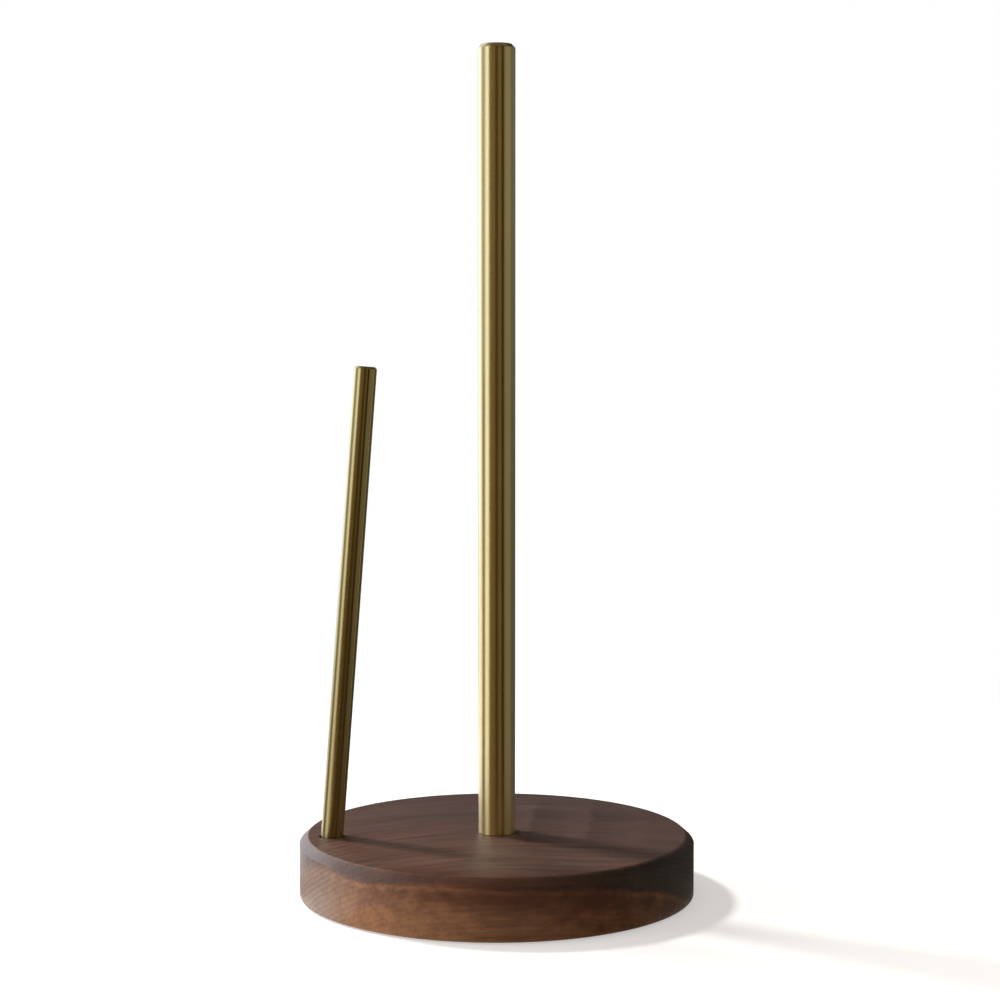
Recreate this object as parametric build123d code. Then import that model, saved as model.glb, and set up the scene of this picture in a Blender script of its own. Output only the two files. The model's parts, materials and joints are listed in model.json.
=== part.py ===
from build123d import *
import math
import os

# Paper towel holder: a walnut base, a brass centre post and a sprung brass side arm that leans on the roll.
# Millimetres, +Z up. The origin is on the table, under the post's axis, and the arm stands on the -X side.

# Base disc, turned from one board
BASE_DIAMETER = 150.0
BASE_THICKNESS = 22.5
BASE_CHAMFER_WIDTH = 3.2
BASE_CHAMFER_HEIGHT = 2.8
BASE_EDGE_ROUND = 0.6
BASE_FOOT_ROUND = 0.5

# Non-slip pad, glued into a shallow recess inside a rim of wood
RIM_WIDTH = 2.7
PAD_THICKNESS = 2.0
PAD_PROUD = 0.5
PAD_EDGE_CHAMFER = 0.3
PAD_CLEARANCE = 0.3

# Ballast plate in its own recess above the pad
BALLAST_DIAMETER = 88.0
BALLAST_THICKNESS = 8.0
BALLAST_EDGE_CHAMFER = 0.5
BALLAST_CLEARANCE = 0.3
BALLAST_SCREW_CIRCLE = 64.0
BALLAST_SCREW_COUNT = 3

# Centre post, with a spigot turned on its foot
POST_DIAMETER = 14.0
POST_LENGTH = 297.0
POST_TOP_CHAMFER = 1.5
POST_FOOT_CHAMFER = 0.2
SPIGOT_DIAMETER = 10.0
SPIGOT_CLEARANCE = 0.05
SOCKET_WEB = 4.8
SOCKET_RELIEF = 0.2

# Countersunk screws: one socket screw for the post, wood screws for the ballast and the housing
SCREW_SINK = 0.2
SCREW_HEAD_LAND = 0.3
SCREW_CLEARANCE = 0.04
SCREW_TIP_WIDTH = 0.4
POST_SCREW_DIAMETER = 6.0
POST_SCREW_HEAD = 12.0
POST_SCREW_KEY = 4.0
POST_SCREW_KEY_DEPTH = 2.4
POST_SCREW_ENGAGEMENT = 17.0
POST_SCREW_PASS = 0.3
POST_SCREW_END_CHAMFER = 0.8
TAP_RUNOUT = 4.0
BALLAST_SCREW_DIAMETER = 3.5
BALLAST_SCREW_HEAD = 7.0
BALLAST_SCREW_BITE = 8.0
HOUSING_SCREW_DIAMETER = 3.0
HOUSING_SCREW_HEAD = 6.0
HOUSING_SCREW_BITE = 8.0
CROSS_SPAN = 3.0
CROSS_WIDTH = 0.9
CROSS_DEPTH = 1.3

# Side arm: at rest it leans inward, and it tilts outward to let a roll in
ARM_DIAMETER = 8.5
ARM_LENGTH = 178.0
ARM_INSET = 12.3
ARM_LEAN = 4.35
ARM_TRAVEL = 8.7
ARM_TOP_CHAMFER = 0.8
ARM_TAIL_CHAMFER = 0.6
ARM_WEB = 1.75
ARM_WEB_CLEARANCE = 0.25
TAIL_HEIGHT = 5.0
TAIL_GAP = 0.5

# Pivot pin through the housing and the arm
PIN_DIAMETER = 2.5
PIN_COVER = 0.4
PIN_CHAMFER = 0.2
PIN_RECESS = 0.1
PIN_RUN_CLEARANCE = 0.03
PIN_SEAT_CLEARANCE = 0.01

# Pivot housing, in a pocket under the wood
HOUSING_EAR = 4.5
HOUSING_WALL = 1.6
HOUSING_END_WALL = 2.0
HOUSING_CORNER = 3.0
HOUSING_TOP_GAP = 0.1
SLOT_CLEARANCE = 0.15
SLOT_SIDE_RELIEF = 0.1
POCKET_CLEARANCE = 0.2
TAB_REACH = 8.5
TAB_WIDTH = 11.0
TAB_THICKNESS = 3.5
TAB_CORNER = 3.0

# Compression spring between the housing and the arm's tail
SPRING_DIAMETER = 5.5
SPRING_WIRE = 0.8
SPRING_LENGTH = 8.0
SPRING_TURNS = 5.5
SPRING_SEAT_GAP = 0.1
SPRING_BORE_CLEARANCE = 0.25
SPRING_MARGIN = 0.75
SPOTFACE_DEPTH = 1.3
SPOTFACE_CLEARANCE = 0.4

# Levels above the table
WOOD_FOOT = PAD_PROUD
PAD_TOP = PAD_THICKNESS
HEAD_LEVEL = PAD_TOP + SCREW_SINK
BALLAST_TOP = PAD_TOP + BALLAST_THICKNESS
TAB_TOP = PAD_TOP + TAB_THICKNESS
BASE_TOP = WOOD_FOOT + BASE_THICKNESS
HOUSING_TOP = BASE_TOP - ARM_WEB - HOUSING_TOP_GAP
SOCKET_FLOOR = BALLAST_TOP + SOCKET_WEB
SPIGOT_FOOT = SOCKET_FLOOR + SOCKET_RELIEF
SPRING_LEVEL = PAD_TOP + TAIL_HEIGHT + SPRING_MARGIN + SPRING_DIAMETER / 2

# Pivot of the arm, on the arm's own axis
LEAN = math.radians(ARM_LEAN)
PIVOT_DEPTH = ARM_WEB + HOUSING_TOP_GAP + PIN_COVER + PIN_DIAMETER / 2
ARM_RADIUS = BASE_DIAMETER / 2 - ARM_INSET
PIVOT_X = -(ARM_RADIUS + PIVOT_DEPTH * math.tan(LEAN))
PIVOT_Z = BASE_TOP - PIVOT_DEPTH
ARM_ABOVE = ARM_LENGTH + PIVOT_DEPTH / math.cos(LEAN)
ARM_BELOW = (PIVOT_Z - PAD_TOP - TAIL_HEIGHT) / math.cos(LEAN)

# Spot-face on the arm's tail, and the spring that stands between it and the housing's end wall
SPOTFACE_X = ARM_DIAMETER / 2 - SPOTFACE_DEPTH
SPOTFACE_DROP = (PIVOT_Z - SPRING_LEVEL - SPOTFACE_X * math.sin(LEAN)) / math.cos(LEAN)
SPRING_TOP_DROP = PIVOT_Z - SPRING_LEVEL - SPRING_DIAMETER / 2
SPRING_START = PIVOT_X + SPOTFACE_X / math.cos(LEAN) - SPRING_TOP_DROP * math.tan(LEAN) + SPRING_SEAT_GAP
SPRING_END = SPRING_START + SPRING_LENGTH

# Outline of the housing
SLOT_REACH = ARM_BELOW + TAIL_GAP
HOUSING_OUTER = PIVOT_X - SLOT_REACH * math.sin(LEAN) - ARM_DIAMETER / 2 - SLOT_CLEARANCE - HOUSING_WALL
HOUSING_INNER = SPRING_END + SPRING_SEAT_GAP + HOUSING_END_WALL
HOUSING_LENGTH = HOUSING_INNER - HOUSING_OUTER
HOUSING_X = (HOUSING_INNER + HOUSING_OUTER) / 2
HOUSING_WIDTH = ARM_DIAMETER + 2 * (SLOT_CLEARANCE + SLOT_SIDE_RELIEF + HOUSING_EAR)
TAB_SPAN = HOUSING_WIDTH + 2 * TAB_REACH

# Screw lengths and places
POST_SCREW_LENGTH = SPIGOT_FOOT + POST_SCREW_ENGAGEMENT - HEAD_LEVEL
BALLAST_SCREW_LENGTH = BALLAST_TOP + BALLAST_SCREW_BITE - HEAD_LEVEL
HOUSING_SCREW_LENGTH = TAB_TOP + HOUSING_SCREW_BITE - HEAD_LEVEL
POST_SCREW_PLACE = Pos(0, 0, HEAD_LEVEL)
BALLAST_SCREW_PLACES = [
    Rot(0, 0, turn * 360 / BALLAST_SCREW_COUNT) * Pos(BALLAST_SCREW_CIRCLE / 2, 0, HEAD_LEVEL)
    for turn in range(BALLAST_SCREW_COUNT)
]
HOUSING_SCREW_PLACES = [
    Pos(HOUSING_X, side * (HOUSING_WIDTH + TAB_REACH) / 2, HEAD_LEVEL) for side in (-1, 1)
]

STANDING = (Align.CENTER, Align.CENTER, Align.MIN)


def rod(diameter, bottom, top):
    """A round bar along Z between two levels."""
    return Pos(0, 0, bottom) * Cylinder(diameter / 2, top - bottom, align=STANDING)


def circles(shape):
    """The circular edges of a turned shape, from the lowest to the highest."""
    return shape.edges().filter_by(GeomType.CIRCLE).sort_by(Axis.Z)


def rounded_block(length, width, corner, bottom, top):
    """A block with rounded upright edges, centred under the housing."""
    outline = RectangleRounded(length, width, corner)
    return Pos(HOUSING_X, 0, bottom) * extrude(outline, top - bottom)


def countersunk(diameter, head, length, clearance=0.0, below=0.0):
    """A flat-head screw's outline, head down, or the hole for one with a clearance and room below."""
    shank_radius = diameter / 2 + clearance
    head_radius = head / 2 + clearance
    land = rod(2 * head_radius, -below, SCREW_HEAD_LAND)
    cone = Cone(head_radius, shank_radius, head_radius - shank_radius, align=STANDING)
    return land + Pos(0, 0, SCREW_HEAD_LAND) * cone + rod(2 * shank_radius, 0, length)


def wood_screw(diameter, head, length):
    """A pointed flat-head screw with a cross recess."""
    tip_length = diameter
    body = countersunk(diameter, head, length - tip_length)
    point = Cone(diameter / 2, SCREW_TIP_WIDTH / 2, tip_length, align=STANDING)
    recess = Box(CROSS_SPAN, CROSS_WIDTH, CROSS_DEPTH, align=STANDING)
    recess += Box(CROSS_WIDTH, CROSS_SPAN, CROSS_DEPTH, align=STANDING)
    return body + Pos(0, 0, length - tip_length) * point - recess


def tilting_arm_space(clearance):
    """The space that the arm's foot sweeps between its two limits, with a clearance round it."""
    diameter = ARM_DIAMETER + 2 * clearance
    rise = 2 * PIVOT_DEPTH
    limits = (ARM_LEAN, ARM_LEAN - ARM_TRAVEL)
    bar = rod(diameter, -SLOT_REACH, rise)
    space = Rot(0, limits[0], 0) * bar + Rot(0, limits[1], 0) * bar
    width = diameter + 2 * SLOT_SIDE_RELIEF
    for reach in (rise, -SLOT_REACH):
        ends = [(reach * math.sin(math.radians(tilt)), reach * math.cos(math.radians(tilt))) for tilt in limits]
        wedge = Plane.XZ * make_face(Polyline((0, 0), *ends, close=True))
        space += extrude(wedge, width / 2, both=True)
    return Pos(PIVOT_X, 0, PIVOT_Z) * space


def base_disc():
    """The walnut disc, with the recesses, pocket and holes of everything fixed under it."""
    disc = rod(BASE_DIAMETER, WOOD_FOOT, BASE_TOP)
    top_face = disc.faces().sort_by(Axis.Z)[-1]
    disc = chamfer(circles(disc)[-1], BASE_CHAMFER_WIDTH, BASE_CHAMFER_HEIGHT, reference=top_face)
    disc = fillet(circles(disc)[-2:], BASE_EDGE_ROUND)
    disc = fillet(circles(disc)[0], BASE_FOOT_ROUND)
    disc -= rod(BASE_DIAMETER - 2 * RIM_WIDTH, WOOD_FOOT, PAD_TOP)
    disc -= rod(BALLAST_DIAMETER + 2 * BALLAST_CLEARANCE, PAD_TOP, BALLAST_TOP)
    disc -= rod(SPIGOT_DIAMETER + 2 * SPIGOT_CLEARANCE, SOCKET_FLOOR, BASE_TOP)
    disc -= rod(POST_SCREW_DIAMETER + 2 * POST_SCREW_PASS, BALLAST_TOP, SOCKET_FLOOR)
    pilot = rod(BALLAST_SCREW_DIAMETER + 2 * SCREW_CLEARANCE, 0, BALLAST_SCREW_LENGTH)
    for place in BALLAST_SCREW_PLACES:
        disc -= place * pilot
    room = 2 * POCKET_CLEARANCE
    corner = HOUSING_CORNER + POCKET_CLEARANCE
    disc -= rounded_block(HOUSING_LENGTH + room, HOUSING_WIDTH + room, corner, PAD_TOP, BASE_TOP - ARM_WEB)
    disc -= rounded_block(TAB_WIDTH + room, TAB_SPAN + room, TAB_CORNER + POCKET_CLEARANCE, PAD_TOP, TAB_TOP)
    pilot = rod(HOUSING_SCREW_DIAMETER + 2 * SCREW_CLEARANCE, 0, HOUSING_SCREW_LENGTH)
    for place in HOUSING_SCREW_PLACES:
        disc -= place * pilot
    return disc - tilting_arm_space(ARM_WEB_CLEARANCE)


def non_slip_pad():
    """The rubber pad that the holder stands on."""
    pad = rod(BASE_DIAMETER - 2 * RIM_WIDTH - 2 * PAD_CLEARANCE, 0, PAD_TOP)
    return chamfer(circles(pad)[0], PAD_EDGE_CHAMFER)


def ballast_plate():
    """The steel disc that keeps the holder from tipping."""
    plate = rod(BALLAST_DIAMETER, PAD_TOP, BALLAST_TOP)
    plate = chamfer(circles(plate), BALLAST_EDGE_CHAMFER)
    seat = countersunk(POST_SCREW_DIAMETER, POST_SCREW_HEAD, POST_SCREW_LENGTH, SCREW_CLEARANCE, HEAD_LEVEL)
    plate -= POST_SCREW_PLACE * seat
    seat = countersunk(
        BALLAST_SCREW_DIAMETER, BALLAST_SCREW_HEAD, BALLAST_SCREW_LENGTH, SCREW_CLEARANCE, HEAD_LEVEL
    )
    for place in BALLAST_SCREW_PLACES:
        plate -= place * seat
    return plate


def ballast_screws():
    """The wood screws that hold the ballast plate."""
    screw = wood_screw(BALLAST_SCREW_DIAMETER, BALLAST_SCREW_HEAD, BALLAST_SCREW_LENGTH)
    return Compound(children=[place * screw for place in BALLAST_SCREW_PLACES])


def center_post():
    """The brass post: its shoulder stands on the wood, and its tapped spigot goes into the socket."""
    post = rod(POST_DIAMETER, BASE_TOP, BASE_TOP + POST_LENGTH)
    post = chamfer(circles(post)[-1], POST_TOP_CHAMFER)
    post = chamfer(circles(post)[0], POST_FOOT_CHAMFER)
    post += rod(SPIGOT_DIAMETER, SPIGOT_FOOT, BASE_TOP)
    tapped_top = HEAD_LEVEL + POST_SCREW_LENGTH + TAP_RUNOUT
    return post - rod(POST_SCREW_DIAMETER + 2 * SCREW_CLEARANCE, SPIGOT_FOOT, tapped_top)


def post_screw():
    """The socket screw that draws the post down onto the base."""
    screw = countersunk(POST_SCREW_DIAMETER, POST_SCREW_HEAD, POST_SCREW_LENGTH)
    screw = chamfer(circles(screw)[-1], POST_SCREW_END_CHAMFER)
    key = RegularPolygon(POST_SCREW_KEY / 2, 6, major_radius=False)
    return POST_SCREW_PLACE * (screw - extrude(key, POST_SCREW_KEY_DEPTH))


def side_arm():
    """The brass arm: a bar on a cross pin, with a spot-face on its tail for the spring."""
    arm = rod(ARM_DIAMETER, -ARM_BELOW, ARM_ABOVE)
    arm = chamfer(circles(arm)[-1], ARM_TOP_CHAMFER)
    arm = chamfer(circles(arm)[0], ARM_TAIL_CHAMFER)
    arm -= Rot(90, 0, 0) * Cylinder(PIN_DIAMETER / 2 + PIN_RUN_CLEARANCE, 2 * ARM_DIAMETER)
    cutter = Cylinder(SPRING_DIAMETER / 2 + SPOTFACE_CLEARANCE, ARM_DIAMETER, align=STANDING)
    arm -= Pos(SPOTFACE_X, 0, -SPOTFACE_DROP) * Rot(0, 90, 0) * cutter
    return Pos(PIVOT_X, 0, PIVOT_Z) * Rot(0, ARM_LEAN, 0) * arm


def arm_pivot_housing():
    """The moulded block that carries the pivot pin, stops the tail at both limits and backs the spring."""
    housing = rounded_block(HOUSING_LENGTH, HOUSING_WIDTH, HOUSING_CORNER, PAD_TOP, HOUSING_TOP)
    housing += rounded_block(TAB_WIDTH, TAB_SPAN, TAB_CORNER, PAD_TOP, TAB_TOP)
    housing -= tilting_arm_space(SLOT_CLEARANCE)
    pin_hole = Cylinder(PIN_DIAMETER / 2 + PIN_SEAT_CLEARANCE, HOUSING_WIDTH)
    housing -= Pos(PIVOT_X, 0, PIVOT_Z) * Rot(90, 0, 0) * pin_hole
    bore_length = SPRING_END + SPRING_SEAT_GAP - PIVOT_X
    bore = Cylinder(SPRING_DIAMETER / 2 + SPRING_BORE_CLEARANCE, bore_length, align=STANDING)
    housing -= Pos(PIVOT_X, 0, SPRING_LEVEL) * Rot(0, 90, 0) * bore
    seat = countersunk(
        HOUSING_SCREW_DIAMETER, HOUSING_SCREW_HEAD, HOUSING_SCREW_LENGTH, SCREW_CLEARANCE, HEAD_LEVEL
    )
    for place in HOUSING_SCREW_PLACES:
        housing -= place * seat
    return housing


def housing_screws():
    """The wood screws that hold the pivot housing."""
    screw = wood_screw(HOUSING_SCREW_DIAMETER, HOUSING_SCREW_HEAD, HOUSING_SCREW_LENGTH)
    return Compound(children=[place * screw for place in HOUSING_SCREW_PLACES])


def arm_pivot_pin():
    """The steel pin, fixed in the housing, that the arm turns on."""
    pin = Cylinder(PIN_DIAMETER / 2, HOUSING_WIDTH - 2 * PIN_RECESS)
    pin = chamfer(circles(pin), PIN_CHAMFER)
    return Pos(PIVOT_X, 0, PIVOT_Z) * Rot(90, 0, 0) * pin


def spring_point(turn):
    """Centre of the wire, and its direction, after so many turns from the arm's end of the spring."""
    radius = (SPRING_DIAMETER - SPRING_WIRE) / 2
    pitch = (SPRING_LENGTH - SPRING_WIRE) / SPRING_TURNS
    angle = 2 * math.pi * turn
    along = SPRING_START + SPRING_WIRE / 2 + pitch * turn
    place = Vector(along, radius * math.cos(angle), SPRING_LEVEL + radius * math.sin(angle))
    way = Vector(pitch / (2 * math.pi), -radius * math.sin(angle), radius * math.cos(angle))
    return place, way.normalized()


def biarc(start, end):
    """Two arcs that join two points of the wire and follow its direction at both."""
    (p0, t0), (p1, t1) = start, end
    chord = p1 - p0
    both = chord.dot(t0 + t1)
    bend = 2 * (1 - t0.dot(t1))
    arm = (math.sqrt(both * both + bend * chord.dot(chord)) - both) / bend
    first, second = p0 + t0 * arm, p1 - t1 * arm
    middle = (first + second) * 0.5
    return [TangentArc(p0, middle, tangent=t0), TangentArc(middle, p1, tangent=second - first)]


def arm_spring():
    """The coil spring, one wire from end to end."""
    steps = round(SPRING_TURNS * 4)
    points = [spring_point(SPRING_TURNS * step / steps) for step in range(steps + 1)]
    path = Wire([edge for pair in zip(points, points[1:]) for edge in biarc(*pair)])
    wire = Plane(origin=points[0][0], z_dir=points[0][1]) * Circle(SPRING_WIRE / 2)
    places = [place for place, _ in points]
    least = min(
        (places[far] - places[near]).length
        for near in range(len(places))
        for far in range(near + 3, len(places))
    )
    print("least gap between the spring's turns, mm:", round(least - SPRING_WIRE, 3))
    return sweep(wire, path=path)


PIECES = {
    "base_disc": base_disc,
    "non_slip_pad": non_slip_pad,
    "ballast_plate": ballast_plate,
    "ballast_screws": ballast_screws,
    "center_post": center_post,
    "post_screw": post_screw,
    "side_arm": side_arm,
    "arm_pivot_housing": arm_pivot_housing,
    "arm_pivot_pin": arm_pivot_pin,
    "arm_spring": arm_spring,
    "housing_screws": housing_screws,
}

os.makedirs("parts", exist_ok=True)
for name, make in PIECES.items():
    export_step(make(), f"parts/{name}.step")
print("arm pivot, mm:", round(PIVOT_X, 4), round(PIVOT_Z, 4))
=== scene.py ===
import json
import math
import bmesh
import bpy
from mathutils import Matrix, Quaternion, Vector


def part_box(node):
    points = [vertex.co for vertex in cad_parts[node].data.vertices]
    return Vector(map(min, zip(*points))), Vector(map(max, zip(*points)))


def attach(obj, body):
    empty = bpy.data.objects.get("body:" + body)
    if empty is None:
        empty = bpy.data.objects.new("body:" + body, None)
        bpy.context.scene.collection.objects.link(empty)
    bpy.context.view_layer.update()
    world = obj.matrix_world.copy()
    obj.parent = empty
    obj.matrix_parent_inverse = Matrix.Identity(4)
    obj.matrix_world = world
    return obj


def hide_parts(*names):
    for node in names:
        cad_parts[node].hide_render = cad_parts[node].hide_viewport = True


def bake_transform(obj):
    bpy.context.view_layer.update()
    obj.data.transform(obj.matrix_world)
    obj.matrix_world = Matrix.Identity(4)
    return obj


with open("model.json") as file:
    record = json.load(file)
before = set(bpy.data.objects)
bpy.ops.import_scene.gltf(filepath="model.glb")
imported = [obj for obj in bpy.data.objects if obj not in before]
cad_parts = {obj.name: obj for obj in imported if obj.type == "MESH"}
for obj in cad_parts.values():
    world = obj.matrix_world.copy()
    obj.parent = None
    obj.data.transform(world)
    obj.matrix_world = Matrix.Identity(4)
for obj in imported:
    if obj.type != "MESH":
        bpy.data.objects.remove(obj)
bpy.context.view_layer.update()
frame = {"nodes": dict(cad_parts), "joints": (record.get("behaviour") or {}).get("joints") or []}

# Walnut base
# One disc, turned from a flat-sawn walnut board, chamfered and oiled. It is bored for the post and routed
# from below for the pad, the ballast and the arm's pivot, and every other piece is fixed to it.

base_low, base_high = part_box("base_disc")
pad_low, pad_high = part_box("non_slip_pad")
ballast_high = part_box("ballast_plate")[1]
post_low, post_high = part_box("center_post")
housing_low, housing_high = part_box("arm_pivot_housing")
arm_joint = frame["joints"][0]
pivot = Vector(arm_joint["pos_m"])
arm_travel = math.radians(arm_joint["range_deg"][1])

BASE_RADIUS = base_high.x
CHAMFER_WIDTH = 0.0032
CHAMFER_HEIGHT = 0.0028
EDGE_EASE = 0.0008
FOOT_EASE = 0.0005
RECESS_EASE = 0.0003
RECESS_GAP = 0.0003
SOCKET_RADIUS = 0.00505
SOCKET_RELIEF = 0.0002
SCREW_PASS_RADIUS = 0.0033
TOP_RINGS = (0.012, 0.030, 0.048, 0.064, 0.0706)
BASE_SEGMENTS = 288
EASE_STEPS = 6
ARM_RADIUS = 0.00425
ARM_LEAN = math.radians(4.35)
ARM_WEB = 0.00175
SLOT_GAP = 0.00025
POCKET_GAP = 0.0002
POCKET_CORNER = 0.0032
HOUSING_HALF_WIDTH = 0.009
CUT_OVERRUN = 0.0005
PLUG_STEPS = 44
TAB_HALF_LENGTH = 0.0055
TAB_HEIGHT = 0.0035
SHARP_ANGLE = math.radians(32)
WELD = 0.000005


def eased(corners):
    """Profile points from (radius, height, ease) corners, each ease above zero turned into an arc."""
    points = []
    for index, (radius, height, ease) in enumerate(corners):
        corner = Vector((radius, height))
        if not ease:
            points.append(corner)
            continue
        before = (Vector(corners[index - 1][:2]) - corner).normalized()
        after = (Vector(corners[(index + 1) % len(corners)][:2]) - corner).normalized()
        half = before.angle(after) / 2
        centre = corner + (before + after).normalized() * (ease / math.sin(half))
        start = (corner + before * (ease / math.tan(half)) - centre).normalized()
        end = (corner + after * (ease / math.tan(half)) - centre).normalized()
        points += [centre + start.slerp(end, step / EASE_STEPS) * ease for step in range(EASE_STEPS + 1)]
    return points


def piece_from(shape, name):
    """An object in the scene from a bmesh, with its normals pointing outward."""
    bmesh.ops.recalc_face_normals(shape, faces=shape.faces)
    mesh = bpy.data.meshes.new(name)
    shape.to_mesh(mesh)
    shape.free()
    piece = bpy.data.objects.new(name, mesh)
    bpy.context.scene.collection.objects.link(piece)
    return piece


def lathe(name, profile, segments, closed=False):
    """A turned piece: (radius, height) points swept round Z, where a point on the axis is one vertex."""
    shape = bmesh.new()
    rings = []
    for radius, height in profile:
        count = segments if radius > 0 else 1
        turns = [2 * math.pi * step / segments for step in range(count)]
        rings.append([shape.verts.new((radius * math.cos(t), radius * math.sin(t), height)) for t in turns])
    neighbours = list(zip(rings, rings[1:]))
    if closed:
        neighbours.append((rings[-1], rings[0]))
    for first, second in neighbours:
        for step in range(segments):
            ahead = step + 1
            corners = [first[step % len(first)], first[ahead % len(first)]]
            corners += [second[ahead % len(second)], second[step % len(second)]]
            shape.faces.new(dict.fromkeys(corners))
    return piece_from(shape, name)


def plug(name, centres, radius):
    """A cutter: the convex solid round level circles of one radius at the (x, y, z) centres."""
    shape = bmesh.new()
    turns = [2 * math.pi * step / PLUG_STEPS for step in range(PLUG_STEPS)]
    for x, y, z in centres:
        for turn in turns:
            shape.verts.new((x + radius * math.cos(turn), y + radius * math.sin(turn), z))
    bmesh.ops.convex_hull(shape, input=shape.verts)
    bmesh.ops.delete(shape, geom=[vert for vert in shape.verts if not vert.link_faces], context="VERTS")
    return piece_from(shape, name)


def cut(piece, cutters):
    """Takes the cutters' volumes out of a piece, welds what they leave and removes the cutters."""
    for cutter in cutters:
        tool = piece.modifiers.new(cutter.name, "BOOLEAN")
        tool.operation = "DIFFERENCE"
        tool.solver = "EXACT"
        tool.object = cutter
    bpy.context.view_layer.update()
    whole = piece.evaluated_get(bpy.context.evaluated_depsgraph_get())
    shape = bmesh.new()
    shape.from_mesh(whole.data)
    bmesh.ops.remove_doubles(shape, verts=shape.verts, dist=WELD)
    bmesh.ops.dissolve_degenerate(shape, edges=shape.edges, dist=WELD)
    shape.to_mesh(piece.data)
    shape.free()
    piece.modifiers.clear()
    for cutter in cutters:
        bpy.data.objects.remove(cutter)


def soften(piece):
    """Smooth shading, broken only along real edges."""
    piece.data.shade_smooth()
    piece.data.set_sharp_from_angle(angle=SHARP_ANGLE)


base = lathe(
    "walnut_base",
    eased(
        [(SOCKET_RADIUS, base_high.z, 0)]
        + [(ring, base_high.z, 0) for ring in TOP_RINGS]
        + [
            (BASE_RADIUS - CHAMFER_WIDTH, base_high.z, EDGE_EASE),
            (BASE_RADIUS, base_high.z - CHAMFER_HEIGHT, EDGE_EASE),
            (BASE_RADIUS, base_low.z, FOOT_EASE),
            (pad_high.x + RECESS_GAP, base_low.z, RECESS_EASE),
            (pad_high.x + RECESS_GAP, pad_high.z, 0),
            (ballast_high.x + RECESS_GAP, pad_high.z, 0),
            (ballast_high.x + RECESS_GAP, ballast_high.z, 0),
            (SCREW_PASS_RADIUS, ballast_high.z, 0),
            (SCREW_PASS_RADIUS, post_low.z - SOCKET_RELIEF, 0),
            (SOCKET_RADIUS, post_low.z - SOCKET_RELIEF, 0),
        ]
    ),
    BASE_SEGMENTS,
    closed=True,
)


def slot_ends(height):
    """Centres of the ends of the space that the tilting arm needs at a height."""
    rise = height - pivot.z
    return [(pivot.x + rise * math.tan(lean), 0, height) for lean in (ARM_LEAN, ARM_LEAN - arm_travel)]


def pocket_ends(x_low, x_high, half_width, ceiling):
    """Centres of the corners of a routed pocket, from just below the wood up to its ceiling."""
    inset = POCKET_CORNER - POCKET_GAP
    across = (inset - half_width, half_width - inset)
    corners = [(x, y) for x in (x_low + inset, x_high - inset) for y in across]
    return [(x, y, z) for x, y in corners for z in (pad_high.z - CUT_OVERRUN, ceiling)]


pocket_ceiling = base_high.z - ARM_WEB
housing_middle = (housing_low.x + housing_high.x) / 2
tab_low = housing_middle - TAB_HALF_LENGTH
tab_high = housing_middle + TAB_HALF_LENGTH
pocket = pocket_ends(housing_low.x, housing_high.x, HOUSING_HALF_WIDTH, pocket_ceiling)
tabs = pocket_ends(tab_low, tab_high, housing_high.y, pad_high.z + TAB_HEIGHT)
slot = slot_ends(pocket_ceiling - CUT_OVERRUN) + slot_ends(base_high.z + CUT_OVERRUN)
cutters = [
    plug("pocket", pocket, POCKET_CORNER),
    plug("tabs", tabs, POCKET_CORNER),
    plug("slot", slot, ARM_RADIUS + SLOT_GAP),
]
cut(base, cutters)
soften(base)


class Signal:
    """A socket in a material's node tree; sums and products of signals add Math nodes to that tree."""

    def __init__(self, tree, socket=None):
        self.tree = tree
        self.socket = socket

    def add(self, kind, settings=None, inputs=None, out=0):
        """Adds a node, sets its settings and then its sockets, and gives one of its outputs."""
        node = self.tree.nodes.new("ShaderNode" + kind)
        for name, value in (settings or {}).items():
            setattr(node, name, value)
        for name, value in (inputs or {}).items():
            if isinstance(value, Signal):
                self.tree.links.new(value.socket, node.inputs[name])
            else:
                node.inputs[name].default_value = value
        return Signal(self.tree, node.outputs[out] if node.outputs else None)

    def math(self, operation, first, second=0.0):
        return self.add("Math", {"operation": operation}, {0: first, 1: second})

    def __add__(self, other):
        return self.math("ADD", self, other)

    def __sub__(self, other):
        return self.math("SUBTRACT", self, other)

    def __rsub__(self, other):
        return self.math("SUBTRACT", other, self)

    def __mul__(self, other):
        return self.math("MULTIPLY", self, other)

    def __truediv__(self, other):
        return self.math("DIVIDE", self, other)

    def __pow__(self, other):
        return self.math("POWER", self, other)

    __radd__ = __add__

    def mix(self, first, second):
        """A colour between two, by this signal."""
        return self.add("Mix", {"data_type": "RGBA"}, {0: self, 6: first, 7: second}, out=2)

    def step(self, low, high):
        """A smooth rise from 0 to 1 between two values."""
        ends = {"Value": self, "From Min": low, "From Max": high}
        return self.add("MapRange", {"interpolation_type": "SMOOTHSTEP"}, ends)

    def stretched(self, scales):
        """A vector signal with each axis scaled."""
        return self.add("VectorMath", {"operation": "MULTIPLY"}, {0: self, 1: scales})

    def noise(self, scales, detail=2.0):
        """Soft noise about zero on a stretched vector signal."""
        inputs = {"Vector": self.stretched(scales), "Scale": 1.0, "Detail": detail}
        return self.add("TexNoise", {}, inputs) - 0.5


def new_finish(name):
    """A material with an empty node tree, and a signal to start from."""
    material = bpy.data.materials.new(name)
    material.use_nodes = True
    material.node_tree.nodes.clear()
    return material, Signal(material.node_tree)


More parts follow.
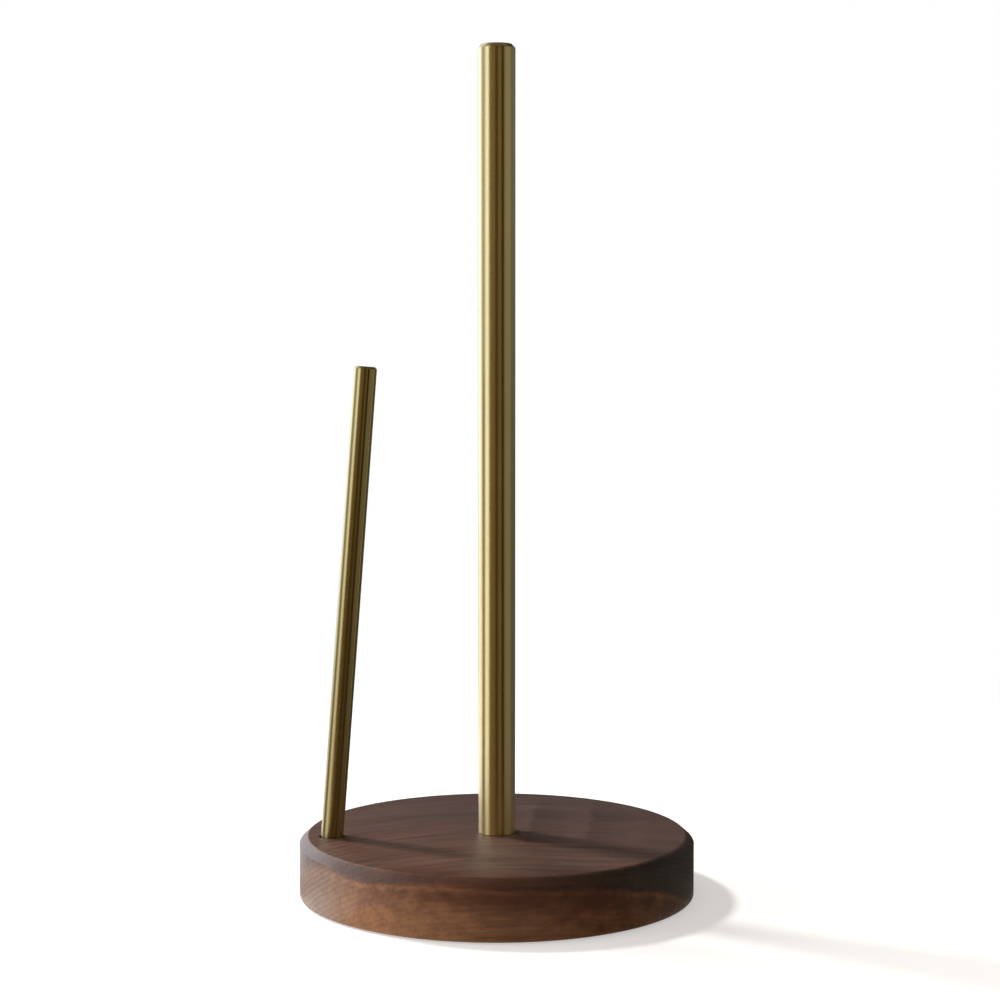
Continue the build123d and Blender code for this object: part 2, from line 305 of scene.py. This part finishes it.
# The grain runs along the board, across the picture, and bows on the arm's side, where the wall is end grain.
# The rings are wide arcs about a pith far below the front edge, so young, pale wood shows low in the wall.
# The top is heartwood over a darker layer, with arched growth steps beside the post. The chamfer and upper
# wall are mixed towards near black: partly that layer, partly painted shade, most on the right.
GRAIN_TURN = math.radians(12.0)
PITH_ACROSS = -0.130
PITH_HEIGHT = -0.281
PALE_RADIUS = 0.3065
RING_WIDTH = 0.0021
ARCH_SPACING = 0.023
ARCH_START = 0.0114
BOW_START = 0.02
BOW_SWEEP = 6.0
BOW_RINGS = 2.4
LEFT_SIDE = (-0.050, -0.015)
RIGHT_SIDE = (-0.020, 0.060)
END_SIDE = (-0.065, -0.040)
BACK_SIDE = (-0.020, 0.020)
TOP_SKIN = (0.0220, 0.0230)
DARK_FOOT = (0.0190, 0.0206)
DARK_FADE = (-0.030, 0.025)
RED_DEPTH = (0.0020, 0.0080)
RED_FADE = (0.020, 0.070)
PALE_EDGE = 0.0032
PALE_EDGE_CRISP = 0.0005
CRISP_SIDE = (-0.075, -0.030)
SEAM_OUTER = (-0.0012, -0.0004)
SEAM_INNER = (-0.0034, -0.0018)
AGED_LEFT = (-0.030, 0.010)
AGED_MIDDLE = (0.005, 0.035)
AGED_RIGHT = (0.040, 0.060)
YOUNG_DEPTH = 0.016
ARCH_RISE = (-0.006, 0.004)
ARCH_FALL = (0.045, 0.066)
ARCH_FRONT = (-0.030, 0.0)
ARCH_BACK = (0.035, 0.066)
POLISH_SIDE = (-0.020, 0.050)
HEARTWOOD = (0.117, 0.056, 0.038, 1)
HEARTWOOD_DEEP = (0.085, 0.052, 0.046, 1)
RED_BAND = (0.060, 0.0160, 0.0050, 1)
DARK_LAYER_AND_SHADE = (0.011, 0.0045, 0.0030, 1)
PALE_WOOD = (0.285, 0.117, 0.041, 1)
END_GRAIN = (0.180, 0.098, 0.054, 1)
PALE_DEEP = (0.110, 0.025, 0.0030, 1)
LATE_WOOD = (0.036, 0.019, 0.0135, 1)
PORE = (0.018, 0.009, 0.0065, 1)

walnut, wood = new_finish("oiled_walnut")
place = wood.add("TexCoord", out="Object")
board = wood.add("VectorRotate", {"rotation_type": "Z_AXIS"}, {"Vector": place, "Angle": GRAIN_TURN})
along = wood.add("SeparateXYZ", {}, {0: board}, out=0)
across = wood.add("SeparateXYZ", {}, {0: board}, out=1)
height = wood.add("SeparateXYZ", {}, {0: board}, out=2)
bow = wood.math("MINIMUM", along - BOW_START, 0.0)
swept = across + bow * bow * BOW_SWEEP
grain = wood.add("CombineXYZ", {}, {0: along, 1: swept, 2: height})
wander = board.noise((11, 22, 22), 1.0)
ripple = board.noise((14, 110, 110), 2.0)
patch = grain.noise((22, 44, 44), 2.0)
flame = grain.noise((10, 95, 95), 2.0)
streak = grain.noise((9, 230, 230), 2.0)
line = grain.noise((14, 600, 600), 3.0)
fleck = grain.noise((38, 560, 560), 3.0)
fibre = grain.noise((60, 2100, 2100), 2.0)
pore = grain.noise((110, 2600, 2600), 1.0).step(0.10, 0.20)
from_pith = across - PITH_ACROSS
above_pith = height - PITH_HEIGHT
ring_radius = (from_pith * from_pith + above_pith * above_pith) ** 0.5
grown = ring_radius + wander * 0.005 + ripple * 0.0013
ring = wood.math("FRACT", (grown + bow * bow * BOW_RINGS) / RING_WIDTH + flame * 0.9)
late = (ring ** 3) * (1 - ring.step(0.86, 1.0))
left = 1 - along.step(*LEFT_SIDE)
right = along.step(*RIGHT_SIDE)
end_grain = 1 - along.step(*END_SIDE)
capped = 1 - height.step(*TOP_SKIN)
top = 1 - capped
depth = grown - PALE_RADIUS + line * 0.0014 + streak * 0.0014 - end_grain * 0.006
edge = PALE_EDGE - along.step(*CRISP_SIDE) * (PALE_EDGE - PALE_EDGE_CRISP)
pale = 1 - (depth / edge).step(-1, 1)
red = (1 - depth.step(*RED_DEPTH)) * (0.85 - left * 0.35 - along.step(*RED_FADE) * 0.55)
deep = depth / 0.05 + along / 0.19 + patch * 1.6 + flame * 1.4
heart = deep.step(-0.3, 1.2).mix(HEARTWOOD, HEARTWOOD_DEEP)
# Painted shade in part: the chamfer and upper wall go towards near black, more on the right, away from the
# lamps, and on the left only the chamfer.
dark_layer_and_shade = (0.45 + right * 0.49) * capped * (1 - left * (1 - height.step(*DARK_FOOT)))
dark_layer_and_shade = dark_layer_and_shade * (1 - across.step(*DARK_FADE) * 0.65)
heart = dark_layer_and_shade.mix(heart, DARK_LAYER_AND_SHADE)
seam = (1 - depth.step(*SEAM_OUTER)) * depth.step(*SEAM_INNER)
aged = 0.14 - along.step(*AGED_LEFT) * 0.24 - along.step(*AGED_MIDDLE) * 0.10
aged = aged + along.step(*AGED_RIGHT) * 0.18
young = patch * 0.15 + streak * 0.8 - depth / YOUNG_DEPTH + seam * 0.3 + aged
young = young.step(0, 1).mix(PALE_DEEP, PALE_WOOD)
young = end_grain.mix(young, END_GRAIN)
tone = red.mix(heart, RED_BAND)
tone = pale.mix(tone, young)
far = across.step(*BACK_SIDE) * capped
lines = 0.90 - pale * 0.55 + end_grain * 0.75 - far * (0.45 + end_grain * 0.70)
tone = (late * lines * (1 + patch)).mix(tone, LATE_WOOD)
arch = wood.math("FRACT", (along - ARCH_START + ripple * 0.006 + line * 0.006) / ARCH_SPACING)
arched = along.step(*ARCH_RISE) * (1 - along.step(*ARCH_FALL)) * top * (arch - 0.5)
arched = arched * across.step(*ARCH_FRONT) * (1 - across.step(*ARCH_BACK))
figure = (flame * 0.9 + streak + fleck * 1.5 + fibre) * (1 - right * top * 0.50)
# Painted shade: the - across * top term makes the top darker towards the back and lighter towards the front.
shade = 1 + arched * 0.42 - across * top * 2.4 + figure * (1 - pale * 0.45)
tone = wood.add("Mix", {"data_type": "RGBA", "blend_type": "MULTIPLY"}, {0: 1.0, 6: tone, 7: shade}, out=2)
tone = (pore * (0.45 - pale * 0.25)).mix(tone, PORE)
relief = fibre * 0.5 - pore * 0.6 + line * 0.4
bump = wood.add("Bump", {}, {"Strength": 0.22, "Distance": 0.0002, "Height": relief})
gloss = 0.48 + pore * 0.15 - late * 0.05 + line * 0.10
polish = 0.6 + capped * (end_grain * 0.4 - along.step(*POLISH_SIDE) * 0.45)
shader = wood.add(
    "BsdfPrincipled",
    {},
    {
        "Base Color": tone,
        "Roughness": gloss,
        "Normal": bump,
        "Coat Weight": polish,
        "Coat Roughness": 0.6,
    },
)
wood.add("OutputMaterial", {}, {"Surface": shader})
base.data.materials.append(walnut)
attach(base, "base")
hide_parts("base_disc")

# Ballast plate and its screws
# A zinc-plated steel disc, let into the underside so that a sheet can be torn off with one hand. Three
# countersunk wood screws hold it up against the wood.

ZINC = (0.42, 0.43, 0.45, 1)
ZINC_DULL = (0.30, 0.31, 0.33, 1)
SCREW_ZINC = (0.52, 0.52, 0.51, 1)


def plated(name, bright, dull, roughness):
    """Plated steel with a faint crystal mottle."""
    material, steel = new_finish(name)
    spot = steel.add("TexCoord", out="Object")
    mottle = steel.add("TexVoronoi", {}, {"Vector": spot, "Scale": 420.0}, out="Color")
    cell = steel.add("SeparateColor", {}, {0: mottle})
    scuff = spot.noise((900, 900, 900), 3.0)
    tone = (cell * 0.7 + scuff * 0.6).mix(bright, dull)
    rough = roughness + cell * 0.08 + scuff * 0.12
    shader = steel.add("BsdfPrincipled", {}, {"Base Color": tone, "Metallic": 1.0, "Roughness": rough})
    steel.add("OutputMaterial", {}, {"Surface": shader})
    return material


def finish_node(name, material):
    """Gives a carried-over node its finish."""
    frame["nodes"][name].material_slots[0].material = material


finish_node("ballast_plate", plated("ballast_zinc", ZINC, ZINC_DULL, roughness=0.34))
screw_zinc = plated("screw_zinc", SCREW_ZINC, ZINC_DULL, roughness=0.26)
finish_node("ballast_screws", screw_zinc)

# Centre post and its screw
# A length of drawn brass bar, brushed along its length and lacquered. Its ends are faced and chamfered on a
# lathe, and a spigot at the foot goes into the wood, where a socket screw draws it down from below.

POST_CHAMFER = 0.0014
POST_EASE = 0.0010
FOOT_CHAMFER = 0.0002
SPIGOT_RADIUS = 0.005
TAPPED_RADIUS = 0.00304
TAPPED_TOP = 0.036
FACING_PITCH = 0.00032
FACING_DEPTH = 0.000006
FACING_STEPS = 4
POST_SEGMENTS = 128
BRASS = (0.76, 0.60, 0.27, 1)
BRASS_DULL = (0.60, 0.45, 0.175, 1)
PAINTED_FOOT_MIX = 0.65
PAINTED_FOOT_TOP = 0.20
BRASS_ROUGHNESS = 0.34
BRASS_LACQUER = 1.85

post_radius = post_high.x


def faced_end(radius, height):
    """Profile of a lathe-faced end, from its rim to the axis, with the shallow rings that a tool leaves."""
    count = round(radius / FACING_PITCH) * FACING_STEPS
    points = []
    for step in range(count, -1, -1):
        ripple = 1 - math.cos(2 * math.pi * step / FACING_STEPS)
        points.append((radius * step / count, height - FACING_DEPTH * ripple / 2))
    return points


post_profile = eased(
    [
        (0, TAPPED_TOP, 0),
        (TAPPED_RADIUS, TAPPED_TOP, 0),
        (TAPPED_RADIUS, post_low.z, 0),
        (SPIGOT_RADIUS, post_low.z, 0),
        (SPIGOT_RADIUS, base_high.z, 0),
        (post_radius - FOOT_CHAMFER, base_high.z, 0),
        (post_radius, base_high.z + FOOT_CHAMFER, 0),
        (post_radius, post_high.z - POST_CHAMFER, POST_EASE),
        (post_radius - POST_CHAMFER, post_high.z, 0),
    ]
)
post_profile = post_profile[:-1] + faced_end(post_radius - POST_CHAMFER, post_high.z)
post = lathe("brass_post", post_profile, POST_SEGMENTS)
soften(post)


def brushed(name, bright, dull, foot, roughness, lacquer):
    """Brass brushed along Z and lacquered, with painted light at its foot: its colour shifts towards the
    given foot colour there.
    """
    material, metal = new_finish(name)
    spot = metal.add("TexCoord", out="Object")
    rise = metal.add("SeparateXYZ", {}, {0: spot}, out=2)
    drawn = spot.noise((2400, 2400, 7), 2.0)
    band = spot.noise((420, 420, 3), 2.0)
    smudge = spot.noise((60, 60, 26), 3.0)
    tone = (0.35 + drawn * 0.5 + band * 0.5 + smudge * 0.5).mix(bright, dull)
    # Painted light near the foot: lighter towards the foot on the post, darker on the arm.
    tone = ((1 - rise.step(0.0, PAINTED_FOOT_TOP)) * PAINTED_FOOT_MIX).mix(tone, foot)
    rough = roughness + drawn * 0.10 + smudge * 0.10
    bump = metal.add("Bump", {}, {"Strength": 0.06, "Distance": 0.00003, "Height": drawn + band * 0.6})
    shader = metal.add(
        "BsdfPrincipled",
        {},
        {
            "Base Color": tone,
            "Metallic": 1.0,
            "Roughness": rough,
            "Normal": bump,
            "Anisotropic": 0.9,
            "Anisotropic Rotation": 0.25,
            "Coat Weight": 0.8,
            "Coat Roughness": 0.2,
            "Coat IOR": lacquer,
        },
    )
    metal.add("OutputMaterial", {}, {"Surface": shader})
    return material


# The post's foot colour is its bright brass: a painted highlight low on the post.
brushed_brass = brushed("brushed_brass", BRASS, BRASS_DULL, BRASS, BRASS_ROUGHNESS, BRASS_LACQUER)
post.data.materials.append(brushed_brass)
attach(post, "base")
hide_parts("center_post")
finish_node("post_screw", screw_zinc)

# Side arm
# A thinner length of brass bar, leaning in towards the roll, whose brass is painted darker than the post's
# and darker still towards its foot, as painted shade. Below the wood it is cross-drilled for its pivot pin,
# and spot-faced where its spring pushes.

ARM_CHAMFER = 0.0008
ARM_EASE = 0.0004
TAIL_CHAMFER = 0.0006
ARM_LENGTH = 0.178
TAIL_LENGTH = 0.012536
PIN_HOLE_RADIUS = 0.00128
SPOTFACE_RADIUS = 0.00315
SPOTFACE_DEPTH = 0.0013
SPOTFACE_DROP = 0.0088
ARM_SEGMENTS = 96
# The arm's brass is the post's brass painted darker, and darker again at its foot: painted shade.
SHADED_ARM_BRASS = (0.50, 0.395, 0.165, 1)
SHADED_ARM_BRASS_DULL = (0.40, 0.30, 0.105, 1)
ARM_FOOT_SHADE = (0.28, 0.20, 0.070, 1)
ARM_ROUGHNESS = 0.28
ARM_LACQUER = 1.5

arm_top = ARM_LENGTH + (base_high.z - pivot.z) / math.cos(ARM_LEAN)
arm_profile = eased(
    [
        (0, -TAIL_LENGTH, 0),
        (ARM_RADIUS - TAIL_CHAMFER, -TAIL_LENGTH, 0),
        (ARM_RADIUS, -TAIL_LENGTH + TAIL_CHAMFER, 0),
        (ARM_RADIUS, arm_top - ARM_CHAMFER, ARM_EASE),
        (ARM_RADIUS - ARM_CHAMFER, arm_top, 0),
    ]
)
arm_profile = arm_profile[:-1] + faced_end(ARM_RADIUS - ARM_CHAMFER, arm_top)
arm = lathe("brass_arm", arm_profile, ARM_SEGMENTS)
outside = (0, 0, 2 * ARM_RADIUS)
pin_hole = plug("pin_hole", [(0, 0, -2 * ARM_RADIUS), outside], PIN_HOLE_RADIUS)
pin_hole.rotation_euler.x = math.pi / 2
spotface = plug("spotface", [(0, 0, ARM_RADIUS - SPOTFACE_DEPTH), outside], SPOTFACE_RADIUS)
spotface.rotation_euler.y = math.pi / 2
spotface.location.z = -SPOTFACE_DROP
cut(arm, [pin_hole, spotface])
soften(arm)
arm.location = pivot
arm.rotation_euler.y = ARM_LEAN
shaded_arm_brass = brushed(
    "shaded_arm_brass", SHADED_ARM_BRASS, SHADED_ARM_BRASS_DULL, ARM_FOOT_SHADE, ARM_ROUGHNESS, ARM_LACQUER
)
arm.data.materials.append(shaded_arm_brass)
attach(arm, "arm")
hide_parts("side_arm")

# Arm pivot
# A moulded nylon housing in a pocket under the wood carries a ground steel pin that the arm turns on, and two
# wood screws hold it. A short coil spring in it pushes the arm's tail outward, and in the real pivot shortens
# as the arm tilts; the coil here is built at one length.

NYLON = (0.022, 0.022, 0.023, 1)
NYLON_WORN = (0.050, 0.050, 0.052, 1)
PIN_STEEL = (0.60, 0.60, 0.61, 1)
SPRING_STEEL = (0.46, 0.45, 0.43, 1)
SPRING_TURNS = 5.5
WIRE_RADIUS = 0.0004
TURN_STEPS = 24
WIRE_STEPS = 12

moulded_nylon, nylon = new_finish("moulded_nylon")
spot = nylon.add("TexCoord", out="Object")
grain = spot.noise((4200, 4200, 4200), 2.0)
flow = spot.noise((180, 180, 180), 2.0)
bump = nylon.add("Bump", {}, {"Strength": 0.25, "Distance": 0.00005, "Height": grain})
tone = (0.4 + flow).mix(NYLON, NYLON_WORN)
shader = nylon.add(
    "BsdfPrincipled", {}, {"Base Color": tone, "Roughness": 0.52 + grain * 0.2, "Normal": bump}
)
nylon.add("OutputMaterial", {}, {"Surface": shader})
finish_node("arm_pivot_housing", moulded_nylon)
finish_node("arm_pivot_pin", plated("ground_steel", PIN_STEEL, ZINC_DULL, roughness=0.18))
finish_node("housing_screws", screw_zinc)

spring_low, spring_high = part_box("arm_spring")
coil_radius = spring_high.y - WIRE_RADIUS
coil_start = Vector((spring_low.x + WIRE_RADIUS, 0, (spring_low.z + spring_high.z) / 2))
coil_end = Vector((spring_high.x - WIRE_RADIUS, 0, coil_start.z))
coil_steps = round(SPRING_TURNS * TURN_STEPS)
shape = bmesh.new()
rings = []
for step in range(coil_steps + 1):
    turn = 2 * math.pi * step / TURN_STEPS
    outward = Vector((0, math.cos(turn), math.sin(turn)))
    round_coil = Vector((0, -math.sin(turn), math.cos(turn))) * (2 * math.pi * coil_radius * SPRING_TURNS)
    onward = (round_coil + coil_end - coil_start).normalized()
    middle = coil_start.lerp(coil_end, step / coil_steps) + outward * coil_radius
    spokes = [Quaternion(onward, 2 * math.pi * side / WIRE_STEPS) @ outward for side in range(WIRE_STEPS)]
    rings.append([shape.verts.new(middle + spoke * WIRE_RADIUS) for spoke in spokes])
for first, second in zip(rings, rings[1:]):
    for side in range(WIRE_STEPS):
        ahead = (side + 1) % WIRE_STEPS
        shape.faces.new((first[side], first[ahead], second[ahead], second[side]))
shape.faces.new(rings[0])
shape.faces.new(rings[-1])
spring = piece_from(shape, "pivot_spring")
soften(spring)
spring.data.materials.append(plated("spring_wire", SPRING_STEEL, ZINC_DULL, roughness=0.30))
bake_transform(spring)
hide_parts("arm_spring")

# Non-slip pad
# A disc of black rubber sheet, glued into the shallow recess under the base, with half a millimetre standing
# proud of the wood. It hides all the fixings.

PAD_EASE = 0.0004
PAD_SEGMENTS = 192
RUBBER = (0.020, 0.020, 0.021, 1)
RUBBER_DUSTY = (0.052, 0.050, 0.048, 1)

pad = lathe(
    "rubber_pad",
    eased(
        [
            (0, pad_high.z, 0),
            (pad_high.x, pad_high.z, PAD_EASE),
            (pad_high.x, pad_low.z, PAD_EASE),
            (0, pad_low.z, 0),
        ]
    ),
    PAD_SEGMENTS,
)
soften(pad)
pad_rubber, rubber = new_finish("pad_rubber")
spot = rubber.add("TexCoord", out="Object")
pebble = rubber.add("TexVoronoi", {}, {"Vector": spot, "Scale": 1400.0}, out="Distance")
dust = spot.noise((120, 120, 120), 3.0)
bump = rubber.add("Bump", {}, {"Strength": 0.35, "Distance": 0.00015, "Height": pebble})
tone = (0.35 + dust).mix(RUBBER, RUBBER_DUSTY)
shader = rubber.add(
    "BsdfPrincipled", {}, {"Base Color": tone, "Roughness": 0.82 + dust * 0.2, "Normal": bump}
)
rubber.add("OutputMaterial", {}, {"Surface": shader})
pad.data.materials.append(pad_rubber)
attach(pad, "base")
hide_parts("non_slip_pad")

# Camera
# It stands at the photograph's place: in front, a little to the arm's side, below the top of the post.

CAMERA_AZIMUTH = math.radians(-6.63)
CAMERA_DISTANCE = 0.8574
CAMERA_HEIGHT = 0.21703
CAMERA_ASIDE = 0.00123
CAMERA_PITCH = math.radians(4.464)
SENSOR_WIDTH = 36.0
FOCAL_LENGTH = SENSOR_WIDTH * 2.2791

towards_camera = Vector((math.sin(CAMERA_AZIMUTH), -math.cos(CAMERA_AZIMUTH), 0))
rightward = Vector((math.cos(CAMERA_AZIMUTH), math.sin(CAMERA_AZIMUTH), 0))
camera_data = bpy.data.cameras.new("camera")
camera_data.sensor_width = SENSOR_WIDTH
camera_data.lens = FOCAL_LENGTH
camera = bpy.data.objects.new("camera", camera_data)
camera.location = towards_camera * CAMERA_DISTANCE + rightward * CAMERA_ASIDE
camera.location.z = CAMERA_HEIGHT
camera.rotation_euler = (math.pi / 2 - CAMERA_PITCH, 0, CAMERA_AZIMUTH)
bpy.context.scene.collection.objects.link(camera)
bpy.context.scene.camera = camera

# Floor and background
# A pale table that fades into white. The white shows in the picture and in reflections, and lights nothing.

FLOOR_SIZE = 6.0
FLOOR_DROP = 0.0001
FLOOR_COLOUR = (0.62, 0.62, 0.62, 1)
FLOOR_LIFT = 0.48
FADE_START = 0.22
FADE_END = 0.60
SKY_STRENGTH = 0.12
SKY_COLOUR = (1.0, 0.67, 0.38, 1)

shape = bmesh.new()
bmesh.ops.create_grid(shape, x_segments=1, y_segments=1, size=FLOOR_SIZE / 2)
floor = piece_from(shape, "floor")
floor.location.z = -FLOOR_DROP
table, paint = new_finish("table")
shown = paint.add("LightPath", out="Is Camera Ray") + paint.add("LightPath", out="Is Glossy Ray")
shown = shown + paint.add("LightPath", out="Is Transmission Ray")
spot = paint.add("TexCoord", out="Object")
distance = paint.add("VectorMath", {"operation": "LENGTH"}, {0: spot}, out="Value")
matt = paint.add("BsdfDiffuse", {}, {"Color": FLOOR_COLOUR})
lift = paint.add("Emission", {}, {"Strength": FLOOR_LIFT})
lifted = paint.add("AddShader", {}, {0: matt, 1: lift})
lit = paint.add("MixShader", {}, {0: shown, 1: matt, 2: lifted})
white = paint.add("Emission", {}, {"Strength": 1.0})
faded = paint.add("MixShader", {}, {0: distance.step(FADE_START, FADE_END) * shown, 1: lit, 2: white})
paint.add("OutputMaterial", {}, {"Surface": faded})
floor.data.materials.append(table)

world = bpy.data.worlds.new("studio")
world.use_nodes = True
world.node_tree.nodes.clear()
sky = Signal(world.node_tree)
shown = sky.add("LightPath", out="Is Camera Ray") + sky.add("LightPath", out="Is Glossy Ray")
shown = shown + sky.add("LightPath", out="Is Transmission Ray")
soft = sky.add("Background", {}, {"Color": SKY_COLOUR, "Strength": SKY_STRENGTH})
white = sky.add("Background", {}, {"Color": (1, 1, 1, 1), "Strength": 1.0})
both = sky.add("MixShader", {}, {0: shown, 1: soft, 2: white})
sky.add("OutputWorld", {}, {"Surface": both})
bpy.context.scene.world = world

# Lamps and cards
# The main light is a small high window behind on the left, with a wide low window on the left and a weak fill
# from above. Two softboxes on the left and glowing cards all round are what the brass mirrors, and give it
# its bands; the cards light nothing and are painted reflections.

AIM = Vector((0, 0, 0.1))


def bearing(degrees, distance, height):
    """A place round the object: 0 is towards the camera, and negative is to its left."""
    turn = math.radians(degrees)
    flat = rightward * math.sin(turn) + towards_camera * math.cos(turn)
    return Vector((flat.x * distance, flat.y * distance, height))


def softbox(name, degrees, distance, height, width, tall, radiance, colour, mirrored):
    """A rectangular lamp that faces the middle of the object, and shows in reflections or doesn't."""
    data = bpy.data.lights.new(name, "AREA")
    data.shape = "RECTANGLE"
    data.size = width
    data.size_y = tall
    data.energy = radiance * math.pi * width * tall
    data.color = colour
    lamp = bpy.data.objects.new(name, data)
    lamp.location = bearing(degrees, distance, height)
    lamp.rotation_euler = (AIM - lamp.location).to_track_quat("-Z", "Y").to_euler()
    lamp.visible_camera = False
    lamp.visible_glossy = mirrored
    bpy.context.scene.collection.objects.link(lamp)


softbox(
    "window",
    degrees=-88,
    distance=1.5,
    height=0.36,
    width=1.4,
    tall=0.7,
    radiance=8.4,
    colour=(0.96, 0.98, 1.0),
    mirrored=False,
)
softbox(
    "back_window",
    degrees=-124,
    distance=1.6,
    height=1.88,
    width=0.32,
    tall=0.32,
    radiance=172.0,
    colour=(1.0, 0.99, 0.97),
    mirrored=False,
)
softbox(
    "overhead",
    degrees=0,
    distance=0.0,
    height=1.6,
    width=1.0,
    tall=1.0,
    radiance=1.5,
    colour=(1.0, 0.90, 0.78),
    mirrored=False,
)
softbox(
    "left_softbox",
    degrees=-62,
    distance=1.5,
    height=0.5,
    width=0.62,
    tall=1.1,
    radiance=0.94,
    colour=(0.64, 0.79, 1.0),
    mirrored=True,
)
softbox(
    "rim_softbox",
    degrees=-133,
    distance=1.5,
    height=0.4,
    width=1.15,
    tall=1.0,
    radiance=1.15,
    colour=(0.68, 0.83, 1.0),
    mirrored=True,
)

CARD_NEAR = 0.0765
CARD_FAR = 1.9
CARD_TALL = 2.4
CARD_LIFT = 0.0004
CARD_STEP = 5
CARD_FOOT = (0, 0.4)
CARD_HEAD = (0.9, 1.8)
CARD_DIM = 0.50
CARD_DARK = 0.15
CEILING_HEIGHT = 1.5
CEILING_RADIUS = 0.9
UPRIGHT = [(CARD_NEAR, CARD_LIFT), (CARD_FAR, CARD_LIFT), (CARD_FAR, CARD_TALL), (CARD_NEAR, CARD_TALL)]
OVERHEAD = [(0.0, CEILING_HEIGHT), (CEILING_RADIUS, CEILING_HEIGHT)]


def card(name, start, end, colour, sweep=UPRIGHT):
    """A glowing card swept between two bearings, that shows only in reflections: a painted reflection, dimmer
    low down and darker high up.
    """
    shape = bmesh.new()
    count = max(1, round((end - start) / CARD_STEP))
    turns = [start + (end - start) * step / count for step in range(count + 1)]
    lines = [[shape.verts.new(bearing(turn, reach, rise)) for reach, rise in sweep] for turn in turns]
    for left, right in zip(lines, lines[1:]):
        for step in range(len(sweep) - 1):
            shape.faces.new((left[step], right[step], right[step + 1], left[step + 1]))
    panel = piece_from(shape, name)
    material, paint = new_finish(name)
    spot = paint.add("TexCoord", out="Object")
    rise = paint.add("SeparateXYZ", {}, {0: spot}, out=2)
    dim = [CARD_DIM * level for level in colour[:3]] + [1]
    dark = [CARD_DARK * level for level in colour[:3]] + [1]
    tone = rise.step(*CARD_HEAD).mix(rise.step(*CARD_FOOT).mix(dim, colour), dark)
    glow = paint.add("Emission", {}, {"Color": tone, "Strength": 1.0})
    paint.add("OutputMaterial", {}, {"Surface": glow})
    panel.data.materials.append(material)
    panel.visible_camera = False
    panel.visible_diffuse = False
    panel.visible_shadow = False
    panel.visible_transmission = False


card("left_card", start=-104, end=-80, colour=(0.53, 0.57, 0.64, 1))
card("front_left_card", start=-50, end=-10, colour=(0.28, 0.215, 0.10, 1))
card("front_card", start=-10, end=10, colour=(0.10, 0.070, 0.018, 1))
card("front_right_card", start=10, end=30, colour=(0.285, 0.215, 0.13, 1))
card("right_front_card", start=30, end=48, colour=(0.032, 0.018, 0.001, 1))
card("right_card", start=48, end=98, colour=(0.38, 0.36, 0.28, 1))
card("back_right_card", start=98, end=150, colour=(0.20, 0.195, 0.185, 1))
card("back_card", start=150, end=197, colour=(0.02, 0.02, 0.02, 1))
card("ceiling_card", start=-180, end=180, colour=(0.40, 0.38, 0.27, 1), sweep=OVERHEAD)

bpy.context.scene.view_settings.view_transform = "Standard"
